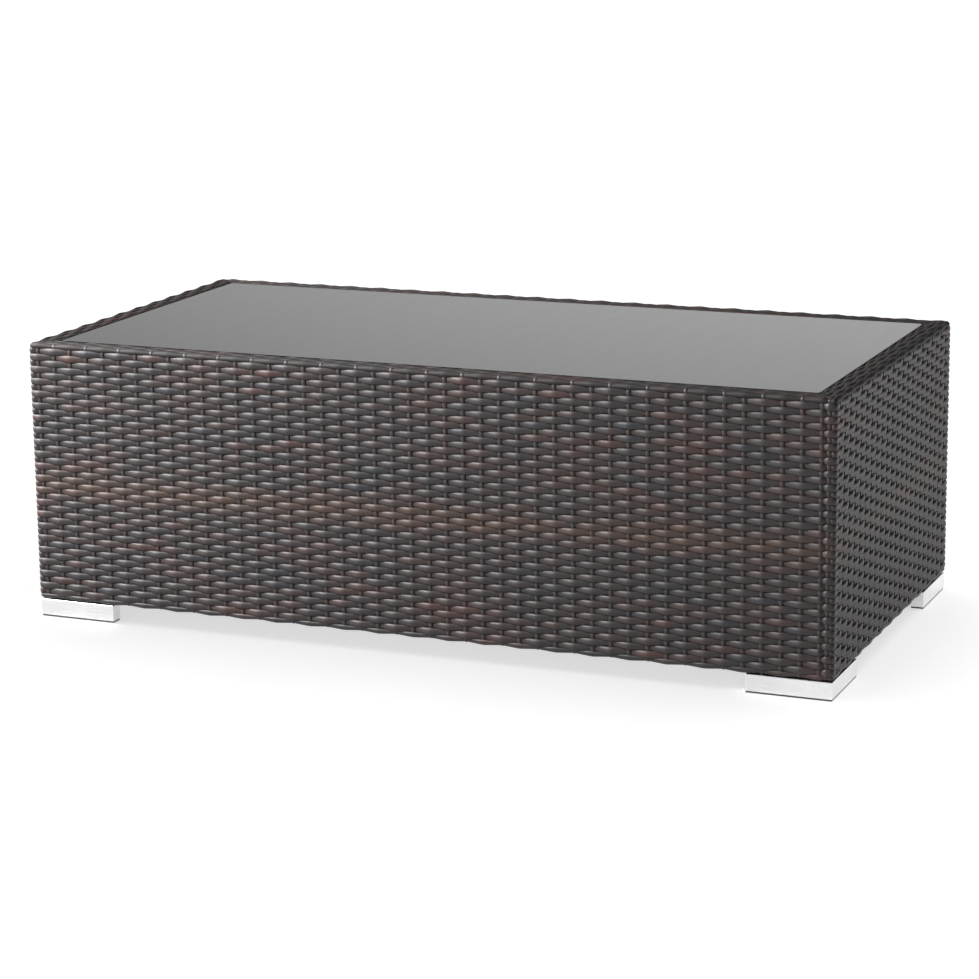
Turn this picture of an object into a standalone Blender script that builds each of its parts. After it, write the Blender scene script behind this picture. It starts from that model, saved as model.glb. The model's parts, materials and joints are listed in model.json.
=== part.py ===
"""A wicker coffee table for the garden.

A welded frame of square tube carries the woven plastic sides, the woven rim, the hem under the bottom rails and
a woven top inside the rim. A glass top drops into the rim and lies on clear pads over the woven top. Four L-shaped
feet are bolted under the corners.

Metres, +Z up. The origin is on the floor under the middle of the table. X runs along the table's length, and
its front faces -Y.
"""

from math import cos, pi, radians, sin

import bmesh
import bpy

# Overall size
LENGTH = 1.200
DEPTH = 0.600
HEIGHT = 0.406

# Gap kept between two pieces that touch
GAP = 0.0003

# Woven skin: the sides, the rim over the top rails, the hem under the bottom rails and the top under the glass
WEAVE_THICKNESS = 0.007
RIM_WIDTH = 0.032
RIM_THICKNESS = 0.006
HEM_THICKNESS = 0.005
WOVEN_TOP_THICKNESS = 0.005

# Frame of square aluminium tube
TUBE = 0.020
TUBE_WALL = 0.0015
TUBE_CORNER = 0.002
UPRIGHTS_ALONG_LENGTH = 2
UPRIGHTS_ALONG_DEPTH = 1
CROSS_BARS = 2

# Glass top and the pads that it lies on
GLASS_THICKNESS = 0.005
GLASS_CLEARANCE = 0.002
GLASS_BELOW_RIM = 0.001
GLASS_CORNER = 0.006
GLASS_ARRIS = 0.0008
PAD_RADIUS = 0.006
PAD_THICKNESS = 0.0017
PAD_FROM_CORNER = 0.090

# Feet
FOOT_HEIGHT = 0.026
FOOT_LEG = 0.120
FOOT_WIDTH = 0.020
FOOT_WALL = 0.0025
FOOT_SET_BACK = 0.002
GLIDE_STANDOFF = 0.002
GLIDE_LIP = 0.0008
GLIDE_PLUG_TOP = 0.008

# Foot bolts, M6 with a hexagon head
BOLT_FROM_CORNER = 0.100
BOLT_LINE = 0.011
BOLT_RADIUS = 0.003
BOLT_HOLE_RADIUS = 0.0034
BOLT_HEAD_HALF_FLATS = 0.005
BOLT_HEAD_HEIGHT = 0.004
BOLT_TOP = 0.043
BOLT_CHAMFER = 0.0006

# Levels and distances inward from the table's outer faces, worked out from the sizes above
BODY_BOTTOM = FOOT_HEIGHT
BOTTOM_RAIL_BASE = BODY_BOTTOM + HEM_THICKNESS + GAP
BOTTOM_RAIL_TOP = BOTTOM_RAIL_BASE + TUBE
RIM_BASE = HEIGHT - RIM_THICKNESS
TOP_RAIL_TOP = RIM_BASE - GAP
TOP_RAIL_BASE = TOP_RAIL_TOP - TUBE
GLASS_TOP = HEIGHT - GLASS_BELOW_RIM
GLASS_BASE = GLASS_TOP - GLASS_THICKNESS
PAD_BASE = GLASS_BASE - GAP - PAD_THICKNESS
WOVEN_TOP_BASE = PAD_BASE - GAP - WOVEN_TOP_THICKNESS
LEDGE_TOP = WOVEN_TOP_BASE - GAP
LEDGE_BASE = LEDGE_TOP - TUBE
FRAME_INSET = WEAVE_THICKNESS + GAP
LEDGE_INSET = FRAME_INSET + TUBE + GAP
FOOT_TOP = FOOT_HEIGHT - GAP

CIRCLE_STEPS = 24
CORNER_STEPS = 4

# Each side of the table: turn about Z, place of the middle of its outer face, and half its length.
# In a side's own frame X runs along the side and Y points inward.
SIDES = {
    "front": (0, (0, -DEPTH / 2, 0), LENGTH / 2),
    "right": (90, (LENGTH / 2, 0, 0), DEPTH / 2),
    "back": (180, (0, DEPTH / 2, 0), LENGTH / 2),
    "left": (270, (-LENGTH / 2, 0, 0), DEPTH / 2),
}
# Each corner of the table: turn about Z, and which side of the centre it lies on in X and Y.
# In a corner's own frame both legs of the foot run along +X and +Y.
CORNERS = {
    "front_left": (0, -1, -1),
    "front_right": (90, 1, -1),
    "back_right": (180, 1, 1),
    "back_left": (270, -1, 1),
}


def clear_scene():
    for old in list(bpy.data.objects):
        bpy.data.objects.remove(old, do_unlink=True)


def material(name, colour, roughness, metallic=0.0, alpha=1.0):
    made = bpy.data.materials.new(name)
    made.use_nodes = True
    shader = made.node_tree.nodes["Principled BSDF"]
    shader.inputs["Base Color"].default_value = (*colour, 1.0)
    shader.inputs["Roughness"].default_value = roughness
    shader.inputs["Metallic"].default_value = metallic
    shader.inputs["Alpha"].default_value = alpha
    made.diffuse_color = (*colour, alpha)
    return made


def add_object(name, bm, finish, location=(0, 0, 0), turn=0, parent=None, smooth=False):
    """Makes a closed mesh object from bm, with its faces pointing out, turned about Z by turn degrees."""
    bmesh.ops.recalc_face_normals(bm, faces=bm.faces)
    mesh = bpy.data.meshes.new(name)
    bm.to_mesh(mesh)
    bm.free()
    if smooth:
        mesh.shade_smooth()
        mesh.set_sharp_from_angle(angle=radians(35))
    mesh.materials.append(finish)
    made = bpy.data.objects.new(name, mesh)
    made.location = location
    made.rotation_euler.z = radians(turn)
    made.parent = parent
    bpy.context.scene.collection.objects.link(made)
    return made


def walls_between(bm, first, second):
    """Quads between two loops of equally many vertices."""
    count = len(first)
    for i in range(count):
        j = (i + 1) % count
        bm.faces.new((first[i], first[j], second[j], second[i]))


def rounded_rectangle(low, high, radius, steps=CORNER_STEPS):
    """Points round a rectangle from low to high, with round corners."""
    points = []
    centres = (
        (high[0] - radius, high[1] - radius),
        (low[0] + radius, high[1] - radius),
        (low[0] + radius, low[1] + radius),
        (high[0] - radius, low[1] + radius),
    )
    for quarter, (x, y) in enumerate(centres):
        for step in range(steps + 1):
            angle = (quarter + step / steps) * pi / 2
            points.append((x + radius * cos(angle), y + radius * sin(angle)))
    return points


def tube_profiles(low, high):
    """The outer and inner outline of a square tube from low to high."""
    inner_low = (low[0] + TUBE_WALL, low[1] + TUBE_WALL)
    inner_high = (high[0] - TUBE_WALL, high[1] - TUBE_WALL)
    outer = rounded_rectangle(low, high, TUBE_CORNER, 2)
    inner = rounded_rectangle(inner_low, inner_high, TUBE_CORNER - TUBE_WALL, 2)
    return outer, inner


def open_tube(near, far):
    """A tube between two ends, each an (outer, inner) pair of point lists."""
    bm = bmesh.new()
    outer_near, inner_near, outer_far, inner_far = (
        [bm.verts.new(point) for point in loop] for loop in (*near, *far)
    )
    walls_between(bm, outer_near, outer_far)
    walls_between(bm, inner_near, inner_far)
    walls_between(bm, outer_near, inner_near)
    walls_between(bm, outer_far, inner_far)
    return bm


def lofted(rings):
    """A solid through rings of equally many points, closed by a flat face at each end."""
    bm = bmesh.new()
    loops = [[bm.verts.new(point) for point in ring] for ring in rings]
    for lower, upper in zip(loops, loops[1:]):
        walls_between(bm, lower, upper)
    bm.faces.new(loops[0])
    bm.faces.new(loops[-1])
    return bm


def mitred_end(profile, half_run, sign):
    """A profile of (inward, height) points, cut at 45 degrees where a side meets the next one."""
    return [(sign * (half_run - GAP - inward), inward, height) for inward, height in profile]


def mitred_tube(name, side, low, high, finish):
    """A frame rail along one side. low and high are (inward, height) corners of its section."""
    turn, place, half_run = SIDES[side]
    profiles = tube_profiles(low, high)
    near = [mitred_end(profile, half_run, -1) for profile in profiles]
    far = [mitred_end(profile, half_run, 1) for profile in profiles]
    return add_object(name, open_tube(near, far), finish, place, turn, smooth=True)


def mitred_strip(name, side, profile, finish):
    """A woven piece along one side, whose section is the given (inward, height) outline."""
    turn, place, half_run = SIDES[side]
    ends = (mitred_end(profile, half_run, -1), mitred_end(profile, half_run, 1))
    return add_object(name, lofted(ends), finish, place, turn)


def upright_tube(name, centre, base, top, finish):
    half = TUBE / 2
    profiles = tube_profiles((-half, -half), (half, half))
    near, far = (
        [[(x, y, height) for x, y in profile] for profile in profiles]
        for height in (0, top - base)
    )
    return add_object(name, open_tube(near, far), finish, (*centre, base), smooth=True)


def cross_tube(name, x, half_span, finish):
    """A tube across the table's depth, level with the ledge rails."""
    half = TUBE / 2
    profiles = tube_profiles((-half, -half), (half, half))
    near, far = (
        [[(across, y, height) for across, height in profile] for profile in profiles]
        for y in (-half_span, half_span)
    )
    return add_object(name, open_tube(near, far), finish, (x, 0, LEDGE_TOP - half), smooth=True)


def make_frame(finish):
    for side in SIDES:
        bottom_low = (FRAME_INSET, BOTTOM_RAIL_BASE)
        bottom_high = (FRAME_INSET + TUBE, BOTTOM_RAIL_TOP)
        mitred_tube(f"bottom_rail_{side}", side, bottom_low, bottom_high, finish)
        top_low = (FRAME_INSET, TOP_RAIL_BASE)
        top_high = (FRAME_INSET + TUBE, TOP_RAIL_TOP)
        mitred_tube(f"top_rail_{side}", side, top_low, top_high, finish)
        ledge_low = (LEDGE_INSET, LEDGE_BASE)
        ledge_high = (LEDGE_INSET + TUBE, LEDGE_TOP)
        mitred_tube(f"ledge_rail_{side}", side, ledge_low, ledge_high, finish)
    post_x = LENGTH / 2 - FRAME_INSET - TUBE / 2
    post_y = DEPTH / 2 - FRAME_INSET - TUBE / 2
    post_base = BOTTOM_RAIL_TOP + GAP
    post_top = TOP_RAIL_BASE - GAP
    for corner, (_, x_side, y_side) in CORNERS.items():
        centre = (x_side * post_x, y_side * post_y)
        upright_tube(f"corner_post_{corner}", centre, post_base, post_top, finish)
    for i in range(UPRIGHTS_ALONG_LENGTH):
        x = LENGTH * ((i + 1) / (UPRIGHTS_ALONG_LENGTH + 1) - 0.5)
        upright_tube(f"upright_front_{i + 1}", (x, -post_y), post_base, post_top, finish)
        upright_tube(f"upright_back_{i + 1}", (x, post_y), post_base, post_top, finish)
    for i in range(UPRIGHTS_ALONG_DEPTH):
        y = DEPTH * ((i + 1) / (UPRIGHTS_ALONG_DEPTH + 1) - 0.5)
        upright_tube(f"upright_left_{i + 1}", (-post_x, y), post_base, post_top, finish)
        upright_tube(f"upright_right_{i + 1}", (post_x, y), post_base, post_top, finish)
    bar_half_span = DEPTH / 2 - LEDGE_INSET - TUBE - GAP
    for i in range(CROSS_BARS):
        x = LENGTH * ((i + 1) / (CROSS_BARS + 1) - 0.5)
        cross_tube(f"cross_bar_{i + 1}", x, bar_half_span, finish)


def make_woven_top(finish):
    """The panel under the glass, which the ledge rails and the cross bars carry."""
    half_length = LENGTH / 2 - RIM_WIDTH - GAP
    half_depth = DEPTH / 2 - RIM_WIDTH - GAP
    corners = ((-1, -1), (1, -1), (1, 1), (-1, 1))
    rings = [
        [(x * half_length, y * half_depth, height) for x, y in corners]
        for height in (0, WOVEN_TOP_THICKNESS)
    ]
    add_object("weave_top", lofted(rings), finish, (0, 0, WOVEN_TOP_BASE))


def make_weave(finish):
    """The woven skin as plain solids of its outer shape. Sides, rim and hem are mitred at the corners."""
    side_base = BODY_BOTTOM + HEM_THICKNESS + GAP
    side_top = RIM_BASE - GAP
    side_profile = (
        (0, side_base),
        (WEAVE_THICKNESS, side_base),
        (WEAVE_THICKNESS, side_top),
        (0, side_top),
    )
    lip_inset = FRAME_INSET + TUBE + GAP
    rim_profile = (
        (0, RIM_BASE),
        (lip_inset, RIM_BASE),
        (lip_inset, WOVEN_TOP_BASE),
        (RIM_WIDTH, WOVEN_TOP_BASE),
        (RIM_WIDTH, HEIGHT),
        (0, HEIGHT),
    )
    hem_width = FRAME_INSET + TUBE
    hem_profile = (
        (0, BODY_BOTTOM),
        (hem_width, BODY_BOTTOM),
        (hem_width, BODY_BOTTOM + HEM_THICKNESS),
        (0, BODY_BOTTOM + HEM_THICKNESS),
    )
    for side in SIDES:
        mitred_strip(f"weave_{side}", side, side_profile, finish)
        mitred_strip(f"rim_{side}", side, rim_profile, finish)
        mitred_strip(f"hem_{side}", side, hem_profile, finish)
    make_woven_top(finish)


def make_glass(finish):
    """The drop-in top, with round corners and ground edges. Its origin is on the line that it lifts along."""
    half_length = LENGTH / 2 - RIM_WIDTH - GLASS_CLEARANCE
    half_depth = DEPTH / 2 - RIM_WIDTH - GLASS_CLEARANCE
    rings = []
    for inset, height in (
        (GLASS_ARRIS, 0),
        (0, GLASS_ARRIS),
        (0, GLASS_THICKNESS - GLASS_ARRIS),
        (GLASS_ARRIS, GLASS_THICKNESS),
    ):
        x, y = half_length - inset, half_depth - inset
        outline = rounded_rectangle((-x, -y), (x, y), GLASS_CORNER - inset)
        rings.append([(*point, height) for point in outline])
    lift_line = bpy.data.objects.new("glass_lift_line", None)
    lift_line.location = (0, 0, GLASS_BASE)
    bpy.context.scene.collection.objects.link(lift_line)
    add_object("glass_top", lofted(rings), finish, parent=lift_line, smooth=True)


def round_rings(levels, steps=CIRCLE_STEPS):
    """Rings of points about Z, one for each (radius, height)."""
    return [
        [
            (radius * cos(2 * pi * i / steps), radius * sin(2 * pi * i / steps), height)
            for i in range(steps)
        ]
        for radius, height in levels
    ]


def make_pads(finish):
    """Clear discs over the ledge rails: one near each corner and one in the middle of each long side."""
    glass_edge = RIM_WIDTH + GLASS_CLEARANCE
    y = DEPTH / 2 - (glass_edge + LEDGE_INSET + TUBE) / 2
    corner_x = LENGTH / 2 - PAD_FROM_CORNER
    places = {
        "front_left": (-corner_x, -y),
        "front_middle": (0, -y),
        "front_right": (corner_x, -y),
        "back_left": (-corner_x, y),
        "back_middle": (0, y),
        "back_right": (corner_x, y),
    }
    levels = (
        (PAD_RADIUS, 0),
        (PAD_RADIUS, PAD_THICKNESS * 0.5),
        (PAD_RADIUS * 0.92, PAD_THICKNESS * 0.85),
        (PAD_RADIUS * 0.75, PAD_THICKNESS),
    )
    for name, centre in places.items():
        bm = lofted(round_rings(levels))
        add_object(f"glass_pad_{name}", bm, finish, (*centre, PAD_BASE), smooth=True)


def foot_outline(inset):
    """The L of a foot seen from above, made smaller all round by inset."""
    low, leg, width = inset, FOOT_LEG - inset, FOOT_WIDTH - inset
    return ((low, low), (leg, low), (leg, width), (width, width), (width, leg), (low, leg))


def foot_ring(inset, height):
    return [(x, y, height) for x, y in foot_outline(inset)]


def foot_shell():
    """An L-shaped cap, closed on top and open underneath."""
    bm = bmesh.new()
    outer_low, outer_top, inner_low, inner_top = (
        [bm.verts.new(point) for point in foot_ring(inset, height)]
        for inset, height in (
            (0, GLIDE_STANDOFF),
            (0, FOOT_TOP),
            (FOOT_WALL, GLIDE_STANDOFF),
            (FOOT_WALL, FOOT_TOP - FOOT_WALL),
        )
    )
    walls_between(bm, outer_low, outer_top)
    walls_between(bm, inner_low, inner_top)
    walls_between(bm, outer_low, inner_low)
    bm.faces.new(outer_top)
    bm.faces.new(inner_top)
    return bm


def glide_plug():
    """The plastic plug in the foot's mouth. Its lower part stands on the floor."""
    plug_inset = FOOT_WALL + GAP
    pad_top = GLIDE_STANDOFF - GAP
    rings = (
        foot_ring(GLIDE_LIP, 0),
        foot_ring(GLIDE_LIP, pad_top),
        foot_ring(plug_inset, pad_top),
        foot_ring(plug_inset, GLIDE_PLUG_TOP),
    )
    return lofted(rings)


def hexagon_ring(half_flats, height, steps=CIRCLE_STEPS):
    """A hexagon with the same number of points as a round ring."""
    points = []
    for i in range(steps):
        angle = 2 * pi * i / steps
        from_flat = (angle + pi / 6) % (pi / 3) - pi / 6
        radius = half_flats / cos(from_flat)
        points.append((radius * cos(angle), radius * sin(angle), height))
    return points


def foot_bolt(length):
    """A bolt that stands on its head, with its top at the given length above the head's upper face."""
    shank = round_rings(
        (
            (BOLT_RADIUS, 0),
            (BOLT_RADIUS, length - BOLT_CHAMFER),
            (BOLT_RADIUS - BOLT_CHAMFER, length),
        )
    )
    head = (
        hexagon_ring(BOLT_HEAD_HALF_FLATS - BOLT_CHAMFER, -BOLT_HEAD_HEIGHT),
        hexagon_ring(BOLT_HEAD_HALF_FLATS, -BOLT_HEAD_HEIGHT + BOLT_CHAMFER),
        hexagon_ring(BOLT_HEAD_HALF_FLATS, 0),
    )
    return lofted((*head, *shank))


def corner_place(corner, along, across, height):
    """A point given in a corner's own frame, in the table's frame."""
    turn, x_side, y_side = CORNERS[corner]
    x0 = x_side * (LENGTH / 2 - FOOT_SET_BACK)
    y0 = y_side * (DEPTH / 2 - FOOT_SET_BACK)
    c, s = round(cos(radians(turn))), round(sin(radians(turn)))
    return (x0 + c * along - s * across, y0 + s * along + c * across, height)


def make_feet(shell_finish, glide_finish, bolt_finish):
    """Feet, glides and bolts. Returns the bolts' places."""
    head_seat = FOOT_TOP - FOOT_WALL - GAP
    bolt_places = []
    for corner, (turn, _, _) in CORNERS.items():
        place = corner_place(corner, 0, 0, 0)
        add_object(f"foot_{corner}", foot_shell(), shell_finish, place, turn)
        add_object(f"glide_{corner}", glide_plug(), glide_finish, place, turn)
        bolt_spots = ((BOLT_FROM_CORNER, BOLT_LINE), (BOLT_LINE, BOLT_FROM_CORNER))
        for i, (along, across) in enumerate(bolt_spots):
            spot = corner_place(corner, along, across, head_seat)
            bm = foot_bolt(BOLT_TOP - head_seat)
            add_object(f"foot_bolt_{corner}_{i + 1}", bm, bolt_finish, spot, smooth=True)
            bolt_places.append(spot)
    return bolt_places


def bolt_hole_cutter(places):
    """One helper mesh with a rod at each bolt, from inside the foot to inside the bottom rail."""
    low = FOOT_TOP - 2 * FOOT_WALL
    high = BOTTOM_RAIL_BASE + TUBE / 2
    bm = bmesh.new()
    for x, y, _ in places:
        levels = ((BOLT_HOLE_RADIUS, low), (BOLT_HOLE_RADIUS, high))
        ends = [
            [bm.verts.new((x + px, y + py, pz)) for px, py, pz in ring]
            for ring in round_rings(levels)
        ]
        walls_between(bm, *ends)
        bm.faces.new(ends[0])
        bm.faces.new(ends[1])
    cutter = add_object("bolt_hole_cutter", bm, None)
    cutter.hide_render = True
    cutter.display_type = "WIRE"
    return cutter


def drill(cutter):
    """Cuts the bolt holes through every piece that a foot bolt passes."""
    names = [f"foot_{corner}" for corner in CORNERS]
    names += [f"hem_{side}" for side in SIDES]
    names += [f"bottom_rail_{side}" for side in SIDES]
    for name in names:
        cut = bpy.data.objects[name].modifiers.new("bolt_holes", "BOOLEAN")
        cut.operation = "DIFFERENCE"
        cut.object = cutter


def main():
    clear_scene()
    woven_plastic = material("woven_plastic", (0.042, 0.034, 0.031), 0.42)
    frame_paint = material("frame_paint", (0.030, 0.026, 0.024), 0.45)
    smoked_glass = material("smoked_glass", (0.25, 0.24, 0.25), 0.35, alpha=0.95)
    clear_pad = material("clear_pad", (0.75, 0.76, 0.76), 0.30)
    foot_aluminium = material("foot_aluminium", (0.80, 0.80, 0.81), 0.30, metallic=1.0)
    black_plastic = material("black_plastic", (0.02, 0.02, 0.02), 0.55)
    bolt_steel = material("bolt_steel", (0.55, 0.55, 0.56), 0.35, metallic=1.0)
    make_frame(frame_paint)
    make_weave(woven_plastic)
    make_glass(smoked_glass)
    make_pads(clear_pad)
    drill(bolt_hole_cutter(make_feet(foot_aluminium, black_plastic, bolt_steel)))


main()
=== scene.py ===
"""The looks of the wicker coffee table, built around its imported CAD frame.

Every strand of the weave is a mesh of its own shape: flat weft strands run in closed loops round the
table, over and under upright stakes. All of them follow one profile, which runs from the hem under the
bottom rails, up the side, over the top edge, across the rim and down its inner lip. A second, flat field
of weave lies under the glass.

Metres, +Z up, in the CAD's frame: X runs along the table's length and its front faces -Y.
"""

import json
from math import asin, pi, radians

import bmesh
import bpy
import numpy as np
from mathutils import Matrix, Vector


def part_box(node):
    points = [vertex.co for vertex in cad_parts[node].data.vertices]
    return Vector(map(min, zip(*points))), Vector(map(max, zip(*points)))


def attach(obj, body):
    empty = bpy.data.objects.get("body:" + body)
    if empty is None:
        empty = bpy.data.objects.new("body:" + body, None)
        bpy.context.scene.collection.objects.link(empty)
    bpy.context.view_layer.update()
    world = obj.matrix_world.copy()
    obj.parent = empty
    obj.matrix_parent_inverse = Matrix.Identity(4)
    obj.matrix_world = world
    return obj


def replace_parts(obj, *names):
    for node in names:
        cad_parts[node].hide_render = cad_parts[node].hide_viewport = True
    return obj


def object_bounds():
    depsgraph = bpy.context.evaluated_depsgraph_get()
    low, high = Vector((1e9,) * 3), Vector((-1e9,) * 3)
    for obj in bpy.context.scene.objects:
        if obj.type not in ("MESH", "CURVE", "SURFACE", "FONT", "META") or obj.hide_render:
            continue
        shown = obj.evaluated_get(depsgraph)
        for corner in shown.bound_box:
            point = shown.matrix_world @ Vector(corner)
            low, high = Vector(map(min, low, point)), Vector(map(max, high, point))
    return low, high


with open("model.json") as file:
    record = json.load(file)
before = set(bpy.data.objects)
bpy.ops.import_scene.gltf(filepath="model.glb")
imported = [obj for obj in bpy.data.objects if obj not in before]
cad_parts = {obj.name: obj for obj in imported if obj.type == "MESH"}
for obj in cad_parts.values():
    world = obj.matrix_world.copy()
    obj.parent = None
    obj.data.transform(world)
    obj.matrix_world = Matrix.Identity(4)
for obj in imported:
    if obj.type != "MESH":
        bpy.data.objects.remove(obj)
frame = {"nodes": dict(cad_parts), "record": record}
CAD_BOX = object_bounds()

# Sizes read from the frame
LOW, HIGH = (Vector(corner) for corner in CAD_BOX)
LENGTH = HIGH.x - LOW.x
DEPTH = HIGH.y - LOW.y
HEIGHT = HIGH.z
BODY_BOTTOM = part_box("hem_front")[0].z
WOVEN_TOP_LOW, WOVEN_TOP_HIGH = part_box("weave_top")
FOOT_LOW, FOOT_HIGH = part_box("foot_front_left")
GLIDE_LOW, GLIDE_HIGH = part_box("glide_front_left")
QUARTER = pi / 2

# Rows of weft, which are closed loops round the table
ROW_PITCH = 0.0089
SIDE_ROWS = 43
RIM_ROWS = 3
HEM_ROWS = 2

# A weft strand: its width, its dome above and its depth below the middle surface, and its back's width
# as a share of its face's. It is wider by WEFT_SPREAD where it passes over or under a stake.
WEFT_WIDTH = 0.0094
WEFT_CROWN = 0.0020
WEFT_BACK = 0.0018
WEFT_BASE = 1.13
WEFT_SPREAD = 0.05

# How far a row swings in and out: most up the side, and less where it is pulled tight over the rails.
# Round a corner it keeps CORNER_LIFT of that. A SWING_SHARPNESS near 1 makes its slopes straight.
SIDE_SWING = 0.0024
EDGE_SWING = 0.0010
RIM_SWING = 0.0008
HEM_SWING = 0.0006
SWING_SHARPNESS = 0.97
CORNER_LIFT = 0.4

# Stakes, from the start of a side. A long side has one more, close beside its far corner.
STAKE_PITCH = 0.0265
LONG_SIDE_START = 0.0138
LONG_SIDE_STAKES = 45
LAST_STAKE_TO_CORNER = 0.0115
SHORT_SIDE_START = 0.0245
SHORT_SIDE_STAKES = 22
STAKE_WIDTH = 0.0056
STAKE_CROWN = 0.0012
STAKE_BACK = 0.0006
STAKE_BASE = 0.97
STAKE_SWING = 0.0008
STAKE_DEPTH = 0.0003

# Fineness of the strands' meshes, and the points across a strand's face as shares of half its width
STEPS_A_STAKE = 8
STEPS_A_ROW = 4
STEPS_A_CORNER = 16
TOP_STEPS_A_STAKE = 6
TOP_STEPS_A_ROW = 2
POINTS_ACROSS = (-1.0, -0.91, -0.64, -0.23, 0.23, 0.64, 0.91, 1.0)

# The weave under the glass is of the same strand, but thinner
TOP_THINNESS = 0.62

# Profile of the weave's middle surface, as insets from the table's outer faces
SIDE_INSET = 0.0030
EDGE_RADIUS = 0.0035
PLAN_CORNER_RADIUS = 0.0050
LEAST_CORNER_RADIUS = 0.0018
HEM_END_INSET = 0.0255
LIP_INSET = 0.0303
LIP_RADIUS = 0.0032
LIP_DROP = 0.0032
NEUTRAL_DEPTH = 0.0020

# Irregularity of hand weaving
SHIFT_JITTER = 0.00022
ROLL_JITTER = 0.05
SWING_JITTER = 0.10
STAKE_SHIFT_JITTER = 0.0006

# Feet and glides
FOOT_LEG = FOOT_HIGH.x - FOOT_LOW.x
FOOT_WIDTH = 0.020
FOOT_WALL = 0.0025
FOOT_EDGE = 0.0011
FOOT_EDGE_SEGMENTS = 3
GLIDE_LIP = 0.0008
GLIDE_PLUG_INSET = 0.0028
GLIDE_GAP = 0.0003
GLIDE_EDGE = 0.0004
GLIDE_EDGE_SEGMENTS = 2
CORNERS = ("front_left", "front_right", "back_right", "back_left")

# Colours of the woven plastic, and the few rows of a warmer brown
STRAND_TONES = (
    (0.34, (0.0112, 0.0130, 0.0172)),
    (0.46, (0.0162, 0.0138, 0.0156)),
    (0.54, (0.0240, 0.0152, 0.0146)),
    (0.66, (0.0420, 0.0162, 0.0140)),
)
TONE_BY_STRAND = 0.72
TONE_BY_PLACE = 0.28
STREAK_COLOUR = (0.030, 0.024, 0.022)
WARM_COLOUR = (0.054, 0.028, 0.018)
WARM_SHARE = 0.55
WARM_ROW = 22.8
WARM_REACH = 3.2

# The studio's light by direction: a bright band low behind the table, and a dim sky
BAND_MIDDLE = (-0.09, 0.995, 0.0)
BAND_BY_HEIGHT = ((0.0, 1.04), (0.10, 0.96), (0.30, 0.34), (0.5, 0.03))
BAND_BY_SIDE = ((0.6, 0.0), (0.86, 0.32), (0.985, 1.0))
SKY_BY_HEIGHT = ((0.0, 0.26), (0.35, 0.22), (0.5, 0.07), (1.0, 0.05))

# The light under the table, just below the hem
UNDER_LIGHT_GAP = 0.001
UNDER_LIGHT_INSET = 0.02
UNDER_LIGHT_PLACE = (0, 0, BODY_BOTTOM - UNDER_LIGHT_GAP)
UNDER_LIGHT_SIZE = (LENGTH - 2 * UNDER_LIGHT_INSET, DEPTH - 2 * UNDER_LIGHT_INSET)

# Area lights: place, point aimed at, size, watts, and the name of the group that the light falls on
LIGHTS = {
    "key_light": ((-2.1, -1.05, 1.75), (-0.1, -0.2, 0.2), (2.3, 1.9), 390, "lit_by_key"),
    "front_fill": ((0.3, -3.3, 1.0), (0, -0.3, 0.2), (1.5, 1.0), 5, "lit_by_fill"),
    "side_light": ((1.7, 0.8, 0.12), (0.6, 0.1, 0.0), (1.0, 0.2), 3.4, "lit_by_fill"),
    "floor_wash": ((0, 0, 6.0), (0, 0, 0), (60, 60), 7000, "lit_by_wash"),
    "near_floor_wash": ((0.3, 0, 2.6), (0.3, 0, 0), (4, 4), 16, "lit_by_wash"),
    "under_light": (UNDER_LIGHT_PLACE, (0, 0, 0), UNDER_LIGHT_SIZE, 0.5, "lit_by_wash"),
}

# The floor lies a little below the glides, so that the two faces aren't in one plane
FLOOR_GAP = 0.0004
FLOOR_HALF_SIZE = 20
FLOOR_GLOW = 0.45

# Camera: lens and sensor in millimetres, shift as a share of the image, tilt in degrees
CAMERA_LENS = 108.52
CAMERA_SENSOR = 36
CAMERA_SHIFT = -0.0506
CAMERA_PLACE = (1.6191, -3.8838, 1.1765)
CAMERA_TILT = (77.5192, 0.6638, 22.6025)

random = np.random.RandomState(7)


def stakes_along(length, first, count, beside_corner=()):
    """Places of a side's stakes, from its middle: evenly spaced, then any beside the far corner."""
    even = [first + number * STAKE_PITCH - length / 2 for number in range(count)]
    return np.array(even + [length / 2 - from_corner for from_corner in beside_corner])


# Each side: its turn about Z in quarters, its outer face's middle, half its length, its stakes' places
LONG_STAKES = stakes_along(LENGTH, LONG_SIDE_START, LONG_SIDE_STAKES, (LAST_STAKE_TO_CORNER,))
SHORT_STAKES = stakes_along(DEPTH, SHORT_SIDE_START, SHORT_SIDE_STAKES)
SIDES = {
    "front": (0, (0, -DEPTH / 2), LENGTH / 2, LONG_STAKES),
    "right": (1, (LENGTH / 2, 0), DEPTH / 2, SHORT_STAKES),
    "back": (2, (0, DEPTH / 2), LENGTH / 2, LONG_STAKES),
    "left": (3, (-LENGTH / 2, 0), DEPTH / 2, SHORT_STAKES),
}
SIDE_NAMES = list(SIDES)
STAKE_COUNT = 2 * (len(LONG_STAKES) + len(SHORT_STAKES))

# The profile as straight runs and arcs, each a length and a turn, from the hem's end to the lip's end
EDGE_ARC = EDGE_RADIUS * QUARTER
SIDE_STRAIGHT = (SIDE_ROWS - 1) * ROW_PITCH - EDGE_ARC
NEUTRAL_TOP = HEIGHT - NEUTRAL_DEPTH
NEUTRAL_BOTTOM = NEUTRAL_TOP - SIDE_STRAIGHT - 2 * EDGE_RADIUS
HEM_FLAT = HEM_END_INSET - SIDE_INSET - EDGE_RADIUS
RIM_FLAT = LIP_INSET - LIP_RADIUS - SIDE_INSET - EDGE_RADIUS
PROFILE = (
    (HEM_FLAT, 0),
    (EDGE_ARC, QUARTER),
    (SIDE_STRAIGHT, 0),
    (EDGE_ARC, QUARTER),
    (RIM_FLAT, 0),
    (LIP_RADIUS * QUARTER, QUARTER),
    (LIP_DROP, 0),
)
PROFILE_LENGTH = sum(length for length, _ in PROFILE)
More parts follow.
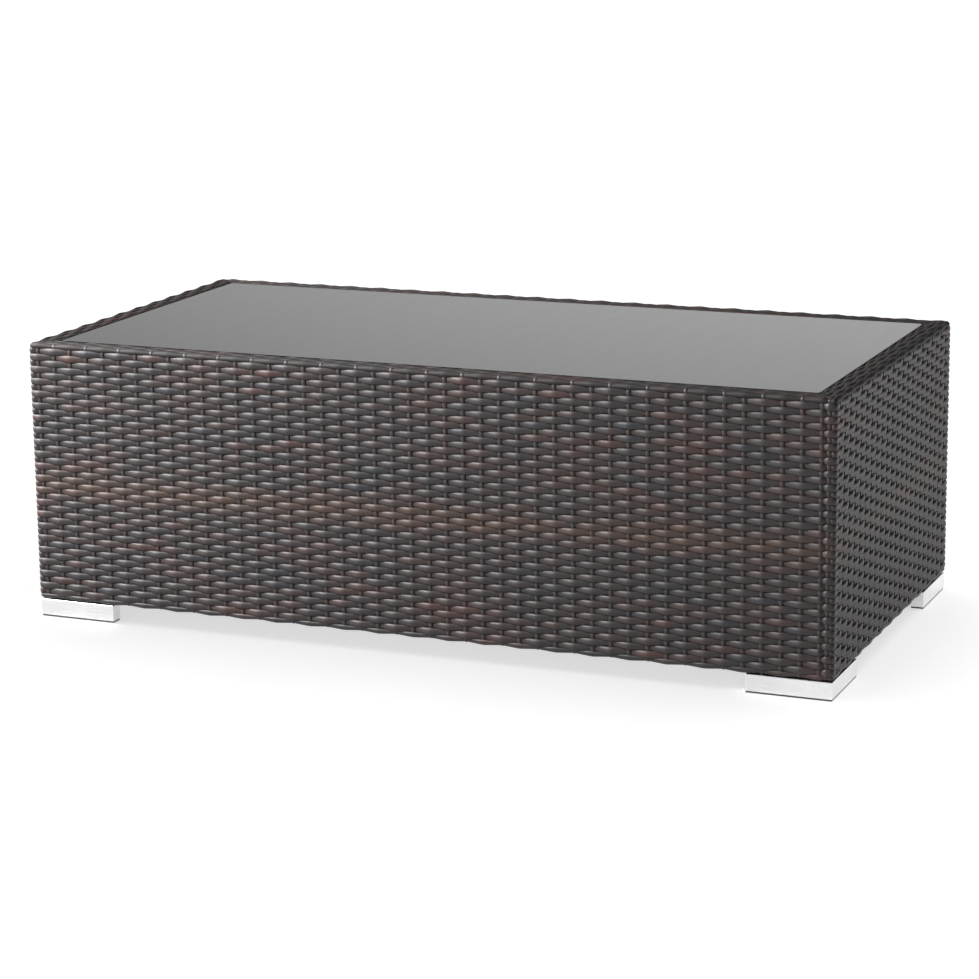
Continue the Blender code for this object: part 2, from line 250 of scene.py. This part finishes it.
TOP_EDGE = HEM_FLAT + EDGE_ARC + SIDE_STRAIGHT + EDGE_ARC / 2


def walk(runs, start, heading, distances):
    """Points and headings at the distances along straight runs and arcs, each a (length, turn) pair."""
    distances = np.asarray(distances, float)
    x = np.zeros_like(distances)
    y = np.zeros_like(distances)
    headings = np.zeros_like(distances)
    begin, (from_x, from_y) = 0.0, start
    for number, (length, turn) in enumerate(runs):
        here = distances >= begin if number else np.ones(distances.shape, bool)
        gone = distances[here] - begin
        headings[here] = heading + (turn * gone / length if turn else 0)
        if turn:
            radius = length / turn
            x[here] = from_x + radius * (np.sin(headings[here]) - np.sin(heading))
            y[here] = from_y - radius * (np.cos(headings[here]) - np.cos(heading))
            from_x += radius * (np.sin(heading + turn) - np.sin(heading))
            from_y -= radius * (np.cos(heading + turn) - np.cos(heading))
            heading += turn
        else:
            x[here] = from_x + gone * np.cos(heading)
            y[here] = from_y + gone * np.sin(heading)
            from_x += length * np.cos(heading)
            from_y += length * np.sin(heading)
        begin += length
    return x, y, headings


def profile_at(distance):
    """Inset, height and the outward normal's (out, up) parts at distances from the top edge's middle."""
    out, up, heading = walk(PROFILE, (-HEM_END_INSET, NEUTRAL_BOTTOM), 0.0, distance + TOP_EDGE)
    return -out, up, np.sin(heading), -np.cos(heading)


def turned(x, y, quarters):
    """A point turned about Z by quarter turns."""
    cosine, sine = ((1, 0), (0, 1), (-1, 0), (0, -1))[quarters % 4]
    return cosine * x - sine * y, sine * x + cosine * y


def swing(phase):
    """A wave of crests and troughs with nearly straight slopes, as a strand takes between stakes."""
    return np.arcsin(SWING_SHARPNESS * np.cos(pi * phase)) / asin(SWING_SHARPNESS)


def swing_of_row(row):
    """How far a row swings. Row 0 lies on the top edge, and the rows count downwards."""
    if row >= SIDE_ROWS:
        return HEM_SWING
    if row < 0:
        return RIM_SWING
    return SIDE_SWING if 0 < row < SIDE_ROWS - 1 else EDGE_SWING


def side_after(side):
    return SIDE_NAMES[(SIDE_NAMES.index(side) + 1) % len(SIDE_NAMES)]


def stakes_met(inset):
    """For each side, the numbers of the first and last stake that a loop at this inset passes."""
    needed = inset + LEAST_CORNER_RADIUS
    met = {}
    for side, (_, _, half, stakes) in SIDES.items():
        numbers = np.flatnonzero(half - abs(stakes) > needed)
        met[side] = (numbers[0], numbers[-1])
    return met


def samples_between(first, last):
    """Stake numbers at the samples of a loop from its first to its last stake on a side."""
    return first + np.arange((last - first) * STEPS_A_STAKE) / STEPS_A_STAKE


def loop_path(inset, met):
    """Points and outward normals of a closed loop round the table at one inset."""
    radius = max(PLAN_CORNER_RADIUS - inset, LEAST_CORNER_RADIUS)
    fractions = np.arange(STEPS_A_CORNER) / STEPS_A_CORNER
    parts = []
    for side, (first, last) in met.items():
        quarters, (middle_x, middle_y), half, stakes = SIDES[side]
        x = np.interp(samples_between(first, last), np.arange(len(stakes)), stakes)
        x, y = turned(x, np.full_like(x, inset), quarters)
        parts.append((x + middle_x, y + middle_y, np.full_like(x, quarters * QUARTER)))
        after = side_after(side)
        _, _, next_half, next_stakes = SIDES[after]
        before_corner = half - inset - radius - stakes[last]
        after_corner = next_half + next_stakes[met[after][0]] - inset - radius
        runs = ((before_corner, 0), (radius * QUARTER, QUARTER), (after_corner, 0))
        length = sum(length for length, _ in runs)
        x, y, heading = walk(runs, (stakes[last], inset), 0.0, fractions * length)
        x, y = turned(x, y, quarters)
        parts.append((x + middle_x, y + middle_y, heading + quarters * QUARTER))
    x, y, heading = (np.concatenate(values) for values in zip(*parts))
    return x, y, np.sin(heading), -np.cos(heading)


def loop_phases(met):
    """At each sample of a loop: its turns over and under so far, its stake, and nearness to a corner.

    Round a corner, a loop turns once over an odd number of spaces between stakes, and twice over an even
    number.
    """
    fractions = np.arange(STEPS_A_CORNER) / STEPS_A_CORNER
    turns, counts, nearness, begin = [], [], [], 0
    for side, (first, last) in met.items():
        numbers = samples_between(first, last)
        spaces = len(SIDES[side][3]) - last + met[side_after(side)][0]
        turns += [begin + numbers, begin + last + fractions * (2 - spaces % 2)]
        counts += [begin + numbers, begin + last + fractions * spaces]
        nearness += [np.zeros_like(numbers), np.sin(pi * fractions) ** 2]
        begin += len(SIDES[side][3])
    return np.concatenate(turns), np.concatenate(counts), np.concatenate(nearness)


def eased_noise(counts):
    """A random value at each stake of a loop, eased between them."""
    values = random.uniform(-1, 1, STAKE_COUNT)
    low = np.floor(counts).astype(int)
    part = counts - low
    part = part * part * (3 - 2 * part)
    return values[low % STAKE_COUNT] * (1 - part) + values[(low + 1) % STAKE_COUNT] * part


def strand_section(width, crown, back, base):
    """Across and outward coordinates round a strand: a domed face, thin edges and a flat back.

    The back is `base` times as wide as the face. A wide one closes the slits between neighbouring rows.
    """
    face = np.array(POINTS_ACROSS)
    across = np.append(face, (base, -base))
    outward = np.append(np.sqrt(1 - face**2) * crown, (-back, -back))
    return across * width / 2, outward


def grid_faces(rings, points, closed):
    """Quads between rings of points, and over both ends of a strand that isn't a closed loop."""
    ring = np.arange(rings if closed else rings - 1)[:, None] * points
    following = (ring + points) % (rings * points)
    one = np.arange(points)[None, :]
    other = (one + 1) % points
    quads = np.stack([ring + one, following + one, following + other, ring + other], -1).reshape(-1, 4)
    if closed:
        return quads
    pairs = range(points // 2 - 1)
    caps = np.array([(pair, pair + 1, points - 2 - pair, points - 1 - pair) for pair in pairs])
    return np.concatenate([quads, caps, caps[:, ::-1] + (rings - 1) * points])


def link_object(name, data):
    made = bpy.data.objects.new(name, data)
    bpy.context.scene.collection.objects.link(made)
    return made


class StrandMesh:
    """Collects strands into one mesh, with what the material needs to know about each point."""

    def __init__(self):
        self.points, self.faces, self.marks, self.warmth = [], [], [], []
        self.count = 0

    def add_weft(self, x, y, z, along, across, closed, warmth=0.0):
        """A strand whose way along, way across and outward side are right-handed in that order."""
        rings, points = x.shape
        seed = random.uniform(0, 100)
        self.points.append(np.stack([x, y, z], -1).reshape(-1, 3))
        self.faces.append(grid_faces(rings, points, closed) + self.count)
        marks = (along, across, np.full_like(x, seed))
        marks = np.stack([np.broadcast_to(values, x.shape) for values in marks], -1)
        self.marks.append(marks.reshape(-1, 3))
        self.warmth.append(np.full(rings * points, warmth))
        self.count += rings * points

    def add_stake(self, x, y, z, along, across):
        """An open strand that crosses the weft, so that its faces turn the other way."""
        self.add_weft(x, y, z, along, across, False)
        self.faces[-1] = self.faces[-1][:, ::-1]

    def make(self, name, finish):
        mesh = bpy.data.meshes.new(name)
        points, faces = np.concatenate(self.points), np.concatenate(self.faces)
        mesh.vertices.add(len(points))
        mesh.vertices.foreach_set("co", points.ravel())
        mesh.loops.add(faces.size)
        mesh.loops.foreach_set("vertex_index", faces.ravel().astype(np.int32))
        mesh.polygons.add(len(faces))
        mesh.polygons.foreach_set("loop_start", np.arange(0, faces.size, 4, dtype=np.int32))
        mesh.update(calc_edges=True)
        marks = np.concatenate(self.marks).ravel().astype(np.float32)
        mesh.attributes.new("strand", "FLOAT_VECTOR", "POINT").data.foreach_set("vector", marks)
        warmth = np.concatenate(self.warmth).astype(np.float32)
        mesh.attributes.new("warmth", "FLOAT", "POINT").data.foreach_set("value", warmth)
        mesh.shade_smooth()
        mesh.materials.append(finish)
        made = link_object(name, mesh)
        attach(made, "table_frame")
        return made


def add_loop(strands, row):
    """One weft strand round the table, in the row of this number."""
    across, outward = strand_section(WEFT_WIDTH, WEFT_CROWN, WEFT_BACK, WEFT_BASE)
    inset, up, normal_out, normal_up = profile_at(across - row * ROW_PITCH)
    met = stakes_met(inset.max())
    turns, counts, nearness = loop_phases(met)
    paths = [loop_path(one, met) for one in inset]
    x, y, out_x, out_y = (np.stack(values, -1) for values in zip(*paths))
    wave = swing(turns + row)[:, None]
    height = swing_of_row(row) * wave[:, 0] * (1 + SWING_JITTER * eased_noise(counts))
    height += nearness * (CORNER_LIFT * swing_of_row(row) - height)
    shift = (SHIFT_JITTER * eased_noise(counts))[:, None] + WEFT_SPREAD * wave**2 * across[None, :]
    roll = (ROLL_JITTER * eased_noise(counts))[:, None]
    lift = height[:, None] + outward[None, :] + roll * across[None, :]
    out = normal_out * lift - normal_up * shift
    rise = normal_up * lift + normal_out * shift
    steps = (np.diff(values[:, 2], prepend=values[-1:, 2]) for values in (x, y))
    along = np.cumsum(np.hypot(*steps))[:, None]
    warmth = np.clip(1 - abs(row - WARM_ROW) / WARM_REACH, 0, 1)
    strands.add_weft(x + out_x * out, y + out_y * out, up + rise, along, across[None, :], True, warmth)


def add_stake(strands, side, number, count_before):
    """One stake up a side, from the hem's end to the lip's end.

    Beside a corner, its two ends stop short where they would meet the next side's stakes.
    """
    quarters, (middle_x, middle_y), half, stakes = SIDES[side]
    across, outward = strand_section(STAKE_WIDTH, STAKE_CROWN, STAKE_BACK, STAKE_BASE)
    room = half - abs(stakes[number]) - STAKE_WIDTH / 2 - LEAST_CORNER_RADIUS
    hem_end = -TOP_EDGE + max(HEM_END_INSET - room, 0)
    lip_end = min(PROFILE_LENGTH - TOP_EDGE, EDGE_ARC / 2 + room - SIDE_INSET - EDGE_RADIUS)
    if room > LIP_INSET:
        lip_end = PROFILE_LENGTH - TOP_EDGE
    distance = np.arange(hem_end, lip_end, ROW_PITCH / STEPS_A_ROW)
    inset, up, normal_out, normal_up = (value[:, None] for value in profile_at(distance))
    phase = distance / ROW_PITCH + count_before + number
    lift = outward[None, :] - STAKE_SWING * swing(phase)[:, None] - STAKE_DEPTH
    lean = STAKE_SHIFT_JITTER * random.uniform(-1, 1)
    x = stakes[number] + lean + across[None, :] + np.zeros_like(lift)
    x, y = turned(x, inset - normal_out * lift, quarters)
    z = up + normal_up * lift
    strands.add_stake(x + middle_x, y + middle_y, z, distance[:, None], across[None, :])


def make_side_weave(finish, rim_finish_painted_shade):
    """The weft loops in groups, and the stakes of each side."""
    groups = {
        "weave_rim_strands": (range(-RIM_ROWS, 1), [f"rim_{side}" for side in SIDES]),
        "weave_side_strands_1": (range(1, 9), ["weave_front"]),
        "weave_side_strands_2": (range(9, 17), ["weave_right"]),
        "weave_side_strands_3": (range(17, 25), ["weave_back"]),
        "weave_side_strands_4": (range(25, 33), ["weave_left"]),
        "weave_side_strands_5": (range(33, 40), []),
        "weave_hem_strands": (range(40, SIDE_ROWS + HEM_ROWS), [f"hem_{side}" for side in SIDES]),
    }
    for name, (rows, nodes) in groups.items():
        strands = StrandMesh()
        for row in rows:
            add_loop(strands, row)
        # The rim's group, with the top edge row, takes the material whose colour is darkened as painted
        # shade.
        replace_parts(strands.make(name, rim_finish_painted_shade if rows[0] < 0 else finish), *nodes)
    count_before = 0
    for side, (_, _, _, stakes) in SIDES.items():
        strands = StrandMesh()
        for number in range(len(stakes)):
            add_stake(strands, side, number, count_before)
        count_before += len(stakes)
        strands.make(f"weave_stakes_{side}", finish)


def make_top_weave(finish):
    """The flat weave under the glass: weft along X over stakes along Y, at the sides' spacing."""
    middle = (WOVEN_TOP_LOW.z + WOVEN_TOP_HIGH.z) / 2
    half_x, half_y = WOVEN_TOP_HIGH.x, WOVEN_TOP_HIGH.y
    rows = int(2 * half_y / ROW_PITCH)
    fields = {"weave_top_front": StrandMesh(), "weave_top_back": StrandMesh()}

    crown, back = WEFT_CROWN * TOP_THINNESS, WEFT_BACK * TOP_THINNESS
    across, outward = strand_section(WEFT_WIDTH, crown, back, STAKE_BASE)
    steps = int(2 * half_x / STAKE_PITCH * TOP_STEPS_A_STAKE)
    x = np.linspace(-half_x, half_x, steps + 1)[:, None]
    phase = x / STAKE_PITCH
    for row in range(rows):
        y = (row - (rows - 1) / 2) * ROW_PITCH
        jitter = eased_noise(phase[:, 0] + STAKE_COUNT / 2)[:, None]
        lift = RIM_SWING * swing(phase + row) + outward[None, :]
        place_y = y + across[None, :] + SHIFT_JITTER * jitter
        grid = np.zeros_like(lift)
        strands = fields["weave_top_front" if y < 0 else "weave_top_back"]
        strands.add_weft(x + grid, place_y + grid, middle + lift, x, across[None, :], False)

    crown, back = STAKE_CROWN * TOP_THINNESS, STAKE_BACK * TOP_THINNESS
    across, outward = strand_section(STAKE_WIDTH, crown, back, STAKE_BASE)
    y = np.linspace(-half_y, half_y, rows * TOP_STEPS_A_ROW + 1)[:, None]
    most = int(half_x / STAKE_PITCH)
    for number in range(-most, most + 1):
        phase = y / ROW_PITCH + (rows - 1) / 2 + number
        lift = -STAKE_SWING * TOP_THINNESS * swing(phase) / 2 + outward[None, :]
        grid = np.zeros_like(lift)
        place_x = number * STAKE_PITCH + across[None, :]
        strands = fields["weave_top_front" if number % 2 else "weave_top_back"]
        strands.add_stake(place_x + grid, y + grid, middle + lift, y, across[None, :])

    for name, strands in fields.items():
        made = strands.make(name, finish)
        if name == "weave_top_front":
            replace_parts(made, "weave_top")


def foot_outline(inset):
    """The L of a foot seen from above in its own frame, with its outer corner at the origin."""
    low, leg, width = inset, FOOT_LEG - inset, FOOT_WIDTH - inset
    return ((low, low), (leg, low), (leg, width), (width, width), (width, leg), (low, leg))


def add_outline(shape, inset, height):
    return [shape.verts.new((*point, height)) for point in foot_outline(inset)]


def add_wall(shape, first, second):
    """Quads between two outlines."""
    for one in range(len(first)):
        other = (one + 1) % len(first)
        shape.faces.new((first[one], first[other], second[other], second[one]))


def add_lid(shape, outline):
    """The L inside an outline, as its two legs."""
    shape.faces.new((outline[0], outline[1], outline[2], outline[3]))
    shape.faces.new((outline[0], outline[3], outline[4], outline[5]))


def foot_cap_shape():
    """An L-shaped cap, closed on top and open underneath."""
    shape = bmesh.new()
    outer_low = add_outline(shape, 0.0, FOOT_LOW.z)
    outer_top = add_outline(shape, 0.0, FOOT_HIGH.z)
    inner_low = add_outline(shape, FOOT_WALL, FOOT_LOW.z)
    inner_top = add_outline(shape, FOOT_WALL, FOOT_HIGH.z - FOOT_WALL)
    add_wall(shape, outer_low, outer_top)
    add_wall(shape, inner_low, inner_top)
    add_wall(shape, outer_low, inner_low)
    add_lid(shape, outer_top)
    add_lid(shape, inner_top)
    return shape


def glide_shape():
    """An L-shaped glide: a lip under the foot's edge, and a narrower plug in its mouth."""
    shape = bmesh.new()
    rings = (
        (GLIDE_LIP, GLIDE_LOW.z),
        (GLIDE_LIP, FOOT_LOW.z - GLIDE_GAP),
        (GLIDE_PLUG_INSET, FOOT_LOW.z - GLIDE_GAP),
        (GLIDE_PLUG_INSET, GLIDE_HIGH.z),
    )
    outlines = [add_outline(shape, inset, height) for inset, height in rings]
    for lower, upper in zip(outlines, outlines[1:]):
        add_wall(shape, lower, upper)
    add_lid(shape, outlines[0])
    add_lid(shape, outlines[-1])
    return shape


def corner_piece(name, shape, corner, finish, slot, bevel, segments):
    """A piece with rounded edges at a corner of the table."""
    low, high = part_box(f"foot_{corner}")
    quarters = CORNERS.index(corner)
    origin = ((low.x, low.y), (high.x, low.y), (high.x, high.y), (low.x, high.y))[quarters]
    bmesh.ops.recalc_face_normals(shape, faces=shape.faces)
    mesh = bpy.data.meshes.new(name)
    shape.to_mesh(mesh)
    shape.free()
    mesh.materials.append(finish)
    made = link_object(name, mesh)
    made.location = (*origin, 0)
    made.rotation_euler.z = quarters * QUARTER
    rounding = made.modifiers.new("rounded_edges", "BEVEL")
    rounding.width = bevel
    rounding.segments = segments
    rounding.limit_method = "ANGLE"
    rounding.harden_normals = True
    mesh.shade_smooth()
    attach(made, "table_frame")
    return made


def make_feet(aluminium, black_plastic):
    """Folded aluminium feet with rounded edges, and the plastic glides in their mouths."""
    cap_looks = (aluminium, "foot_aluminium", FOOT_EDGE, FOOT_EDGE_SEGMENTS)
    glide_looks = (black_plastic, "black_plastic", GLIDE_EDGE, GLIDE_EDGE_SEGMENTS)
    for corner in CORNERS:
        made = corner_piece(f"foot_cap_{corner}", foot_cap_shape(), corner, *cap_looks)
        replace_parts(made, f"foot_{corner}")
        made = corner_piece(f"foot_glide_{corner}", glide_shape(), corner, *glide_looks)
        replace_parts(made, f"glide_{corner}")


class Nodes:
    """A short way to write a node tree."""

    def __init__(self, tree):
        self.tree = tree

    def add(self, kind, inputs=None, **settings):
        node = self.tree.nodes.new(kind)
        for key, value in settings.items():
            setattr(node, key, value)
        for key, value in (inputs or {}).items():
            self.feed(node, key, value)
        return node

    def feed(self, node, key, value):
        if isinstance(value, bpy.types.NodeSocket):
            self.tree.links.new(value, node.inputs[key])
        else:
            node.inputs[key].default_value = value

    def ramp(self, factor, stops):
        """A colour ramp. stops are (position, colour) pairs, where a colour may be one grey value."""
        node = self.add("ShaderNodeValToRGB", {"Fac": factor})
        while len(node.color_ramp.elements) < len(stops):
            node.color_ramp.elements.new(0.5)
        for element, (position, colour) in zip(node.color_ramp.elements, stops):
            element.position = position
            grey = (colour, colour, colour)
            element.color = (*(colour if isinstance(colour, tuple) else grey), 1)
        return node.outputs["Color"]

    def mix(self, factor, first, second, blend_type="MIX"):
        """Two colours mixed. The colour sockets of a Mix node are its seventh and eighth."""
        inputs = {0: factor, 6: first, 7: second}
        node = self.add("ShaderNodeMix", inputs, data_type="RGBA", blend_type=blend_type)
        return node.outputs[2]

    def maths(self, operation, first, second):
        return self.add("ShaderNodeMath", {0: first, 1: second}, operation=operation).outputs[0]

    def blend(self, first, first_share, second, second_share):
        """The sum of two values, each times its share."""
        first = self.maths("MULTIPLY", first, first_share)
        return self.maths("ADD", first, self.maths("MULTIPLY", second, second_share))

    def noise(self, vector, scale, detail=2.0, roughness=0.5):
        inputs = {"Vector": vector, "Scale": scale, "Detail": detail, "Roughness": roughness}
        return self.add("ShaderNodeTexNoise", inputs).outputs["Fac"]

    def stretched_noise(self, vector, scales, detail=2.0, roughness=0.5):
        """Noise of a different scale along each axis."""
        mapping = self.add("ShaderNodeMapping", {"Vector": vector, "Scale": scales})
        return self.noise(mapping.outputs["Vector"], 1.0, detail, roughness)

    def bump(self, height, distance, strength, normal=None):
        inputs = {"Height": height, "Distance": distance, "Strength": strength}
        if normal:
            inputs["Normal"] = normal
        return self.add("ShaderNodeBump", inputs).outputs["Normal"]

    def place(self):
        return self.add("ShaderNodeTexCoord").outputs["Object"]


class MaterialNodes(Nodes):
    """The node tree of a new material, with its shader."""

    def __init__(self, name):
        self.material = bpy.data.materials.new(name)
        self.material.use_nodes = True
        super().__init__(self.material.node_tree)
        self.shader = self.tree.nodes["Principled BSDF"]

    def finish(self, **values):
        """Feeds the shader's sockets, whose names have _ for each space, and gives the material."""
        for key, value in values.items():
            self.feed(self.shader, key.replace("_", " "), value)
        return self.material


def woven_plastic_material(name, smoothest, roughest, gloss, painted_shade_factor):
    """Extruded strand in mixed espresso tones, with fine grooves along it and a satin skin.

    `smoothest` and `roughest` are the ends of its roughness and `gloss` its specular level. The last
    argument
    is how much of its colour is left: below 1 it darkens the whole colour towards black as painted
    shade.
    """
    nodes = MaterialNodes(name)
    strand = nodes.add("ShaderNodeAttribute", attribute_name="strand").outputs["Vector"]
    warmth = nodes.add("ShaderNodeAttribute", attribute_name="warmth").outputs["Fac"]
    drift = nodes.stretched_noise(strand, scales=(7.0, 0.0, 3.1), detail=2.0, roughness=0.6)
    streak = nodes.stretched_noise(strand, scales=(9.0, 700.0, 5.3), detail=3.0, roughness=0.6)
    patch = nodes.noise(nodes.place(), scale=9.0, detail=3.0, roughness=0.55)
    colour = nodes.ramp(nodes.blend(drift, TONE_BY_STRAND, patch, TONE_BY_PLACE), STRAND_TONES)
    streaks = nodes.ramp(streak, ((0.40, 0.0), (0.68, 0.7)))
    colour = nodes.mix(streaks, colour, (*STREAK_COLOUR, 1))
    colour = nodes.mix(nodes.maths("MULTIPLY", warmth, WARM_SHARE), colour, (*WARM_COLOUR, 1))
    # Painted shade: the colour is darkened evenly towards black by the last argument, which the rim's
    # strands use.
    colour = nodes.mix(painted_shade_factor, (0, 0, 0, 1), colour)
    groove = nodes.stretched_noise(strand, scales=(3.0, 1500.0, 9.7))
    pitted = nodes.stretched_noise(strand, scales=(160.0, 500.0, 1.0))
    pits = nodes.bump(pitted, distance=0.00005, strength=0.5)
    uneven = nodes.blend(streak, 0.5, pitted, 0.5)
    return nodes.finish(
        Base_Color=colour,
        Roughness=nodes.ramp(uneven, ((0.3, smoothest), (0.7, roughest))),
        Normal=nodes.bump(groove, distance=0.00012, strength=0.8, normal=pits),
        IOR=1.5,
        Specular_IOR_Level=gloss,
    )


def frame_paint_material():
    """Dark powder coat with a fine orange-peel surface."""
    nodes = MaterialNodes("powder_coat")
    place = nodes.place()
    peel = nodes.noise(place, scale=900.0)
    mottle = nodes.noise(place, scale=30.0, detail=3.0)
    return nodes.finish(
        Base_Color=nodes.ramp(mottle, ((0.3, (0.024, 0.021, 0.019)), (0.7, (0.036, 0.031, 0.028)))),
        Roughness=nodes.ramp(mottle, ((0.3, 0.40), (0.7, 0.52))),
        Normal=nodes.bump(peel, distance=0.00015, strength=0.5),
    )


def smoked_glass_material():
    """Dark smoked glass with a faint grain across the table. The weave below shows through a little."""
    nodes = MaterialNodes("smoked_glass")
    place = nodes.place()
    grain = nodes.stretched_noise(place, scales=(170.0, 5.0, 1.0), detail=3.0, roughness=0.6)
    return nodes.finish(
        Base_Color=nodes.ramp(grain, ((0.35, (0.010, 0.009, 0.010)), (0.65, (0.060, 0.056, 0.058)))),
        Roughness=nodes.ramp(grain, ((0.3, 0.10), (0.7, 0.16))),
        Normal=nodes.bump(grain, distance=0.00008, strength=0.6),
        IOR=2.2,
        Alpha=0.95,
    )


def clear_pad_material():
    """Soft clear silicone with a faint haze."""
    nodes = MaterialNodes("clear_pad")
    haze = nodes.noise(nodes.place(), scale=200.0)
    return nodes.finish(
        Base_Color=nodes.ramp(haze, ((0.3, (0.70, 0.71, 0.71)), (0.7, (0.80, 0.81, 0.81)))),
        Roughness=nodes.ramp(haze, ((0.3, 0.22), (0.7, 0.38))),
        Transmission_Weight=0.9,
        IOR=1.41,
    )


def aluminium_material():
    """Clear-anodised aluminium, brushed level."""
    nodes = MaterialNodes("brushed_aluminium")
    place = nodes.place()
    brush = nodes.stretched_noise(place, scales=(6.0, 6.0, 2600.0), detail=3.0, roughness=0.6)
    cloud = nodes.noise(place, scale=25.0)
    return nodes.finish(
        Base_Color=nodes.ramp(cloud, ((0.3, (0.76, 0.76, 0.77)), (0.7, (0.83, 0.83, 0.84)))),
        Metallic=1.0,
        Roughness=nodes.ramp(brush, ((0.3, 0.22), (0.7, 0.38))),
        Normal=nodes.bump(brush, distance=0.00004, strength=0.5),
    )


def black_plastic_material():
    """Moulded plastic with a fine spark-eroded grain and level scuffs."""
    nodes = MaterialNodes("glide_plastic")
    place = nodes.place()
    grain = nodes.noise(place, scale=1400.0)
    scuff = nodes.stretched_noise(place, scales=(60.0, 60.0, 400.0), detail=3.0)
    return nodes.finish(
        Base_Color=nodes.ramp(scuff, ((0.45, (0.015, 0.015, 0.015)), (0.75, (0.045, 0.044, 0.043)))),
        Roughness=nodes.ramp(scuff, ((0.3, 0.5), (0.7, 0.65))),
        Normal=nodes.bump(grain, distance=0.00008, strength=0.5),
    )


def bolt_steel_material():
    """Zinc-plated steel, a little uneven in its plating."""
    nodes = MaterialNodes("plated_steel")
    patch = nodes.noise(nodes.place(), scale=180.0, detail=3.0)
    return nodes.finish(
        Base_Color=nodes.ramp(patch, ((0.3, (0.50, 0.51, 0.53)), (0.7, (0.66, 0.66, 0.64)))),
        Metallic=1.0,
        Roughness=nodes.ramp(patch, ((0.3, 0.25), (0.7, 0.42))),
    )


def floor_material():
    """A pale studio floor that glows a little by itself, which keeps the shadow on it pale."""
    nodes = MaterialNodes("studio_floor")
    faint = nodes.noise(nodes.place(), scale=2.0)
    return nodes.finish(
        Base_Color=nodes.ramp(faint, ((0.3, 0.86), (0.7, 0.88))),
        Roughness=0.9,
        Emission_Color=(1, 1, 1, 1),
        Emission_Strength=FLOOR_GLOW,
    )


def dress_cad_nodes(finishes):
    """Gives every CAD node that stays a better material, by its slot."""
    for part in frame["record"]["subparts"]:
        for material_slot in frame["nodes"][part["node"]].material_slots:
            material_slot.material = finishes[part["material_slot"]]


def make_floor():
    shape = bmesh.new()
    down = Matrix.Translation((0, 0, -FLOOR_GAP))
    bmesh.ops.create_grid(shape, x_segments=1, y_segments=1, size=FLOOR_HALF_SIZE, matrix=down)
    mesh = bpy.data.meshes.new("studio_floor")
    shape.to_mesh(mesh)
    shape.free()
    mesh.materials.append(floor_material())
    floor = link_object("studio_floor", mesh)
    return floor


def lit_group(name, members):
    """A collection of the objects that a light falls on. It isn't part of the scene's own tree."""
    group = bpy.data.collections.new(name)
    for member in members:
        group.objects.link(member)
    return group


def make_world():
    """A dim sky over a bright band low behind the table, which the glass and the rim reflect."""
    world = bpy.data.worlds.new("studio")
    world.use_nodes = True
    nodes = Nodes(world.node_tree)
    direction = nodes.add("ShaderNodeTexCoord").outputs["Generated"]
    up = nodes.add("ShaderNodeSeparateXYZ", {0: direction}).outputs["Z"]
    toward_band = {0: direction, 1: BAND_MIDDLE}
    nearness = nodes.add("ShaderNodeVectorMath", toward_band, operation="DOT_PRODUCT").outputs["Value"]
    band = nodes.mix(1.0, nodes.ramp(up, BAND_BY_HEIGHT), nodes.ramp(nearness, BAND_BY_SIDE), "MULTIPLY")
    light = nodes.mix(1.0, band, nodes.ramp(up, SKY_BY_HEIGHT), "ADD")
    nodes.feed(world.node_tree.nodes["Background"], "Color", light)
    bpy.context.scene.world = world


def make_studio(floor, table, glass):
    """Soft light on the table, most of it from the left, and an even light from above on the floor.

    The key light leaves the glass out, whose edge would glare. The light under the table and the floor's
    own glow leave only a pale shadow.
    """
    make_world()
    groups = {
        "lit_by_key": lit_group("lit_by_key", [thing for thing in table if thing != glass]),
        "lit_by_fill": lit_group("lit_by_fill", table),
        "lit_by_wash": lit_group("lit_by_wash", [floor]),
    }
    for name, (place, aim, size, watts, lit) in LIGHTS.items():
        data = bpy.data.lights.new(name, "AREA")
        data.shape = "RECTANGLE"
        data.size, data.size_y = size
        data.energy = watts
        light = bpy.data.objects.new(name, data)
        light.location = place
        light.rotation_euler = (Vector(aim) - Vector(place)).to_track_quat("-Z", "Y").to_euler()
        light.light_linking.receiver_collection = groups[lit]
        bpy.context.scene.collection.objects.link(light)
    bpy.context.scene.view_settings.view_transform = "Standard"


def make_camera():
    data = bpy.data.cameras.new("camera")
    data.lens = CAMERA_LENS
    data.sensor_width = CAMERA_SENSOR
    data.shift_y = CAMERA_SHIFT
    camera = link_object("camera", data)
    camera.location = CAMERA_PLACE
    camera.rotation_euler = [radians(angle) for angle in CAMERA_TILT]
    bpy.context.scene.camera = camera


make_camera()
studio_floor = make_floor()
woven = woven_plastic_material("woven_strand", smoothest=0.45, roughest=0.57, gloss=0.4, painted_shade_factor=1.0)
# Painted shade: the rim's strands keep only 0.6 of their colour, which darkens the table's top edge and
# rim.
woven_rim_painted_shade = woven_plastic_material(
    "woven_rim_strand_painted_shade", smoothest=0.58, roughest=0.70, gloss=0.26, painted_shade_factor=0.6
)
brushed_aluminium = aluminium_material()
glide_plastic = black_plastic_material()
make_side_weave(woven, woven_rim_painted_shade)
make_top_weave(woven)
make_feet(brushed_aluminium, glide_plastic)
dress_cad_nodes(
    {
        "woven_plastic": woven,
        "frame_paint": frame_paint_material(),
        "smoked_glass": smoked_glass_material(),
        "clear_pad": clear_pad_material(),
        "foot_aluminium": brushed_aluminium,
        "black_plastic": glide_plastic,
        "bolt_steel": bolt_steel_material(),
    }
)

meshes = [thing for thing in bpy.context.scene.objects if thing.type == "MESH"]
table = [thing for thing in meshes if thing != studio_floor]
make_studio(studio_floor, table, frame["nodes"]["glass_top"])
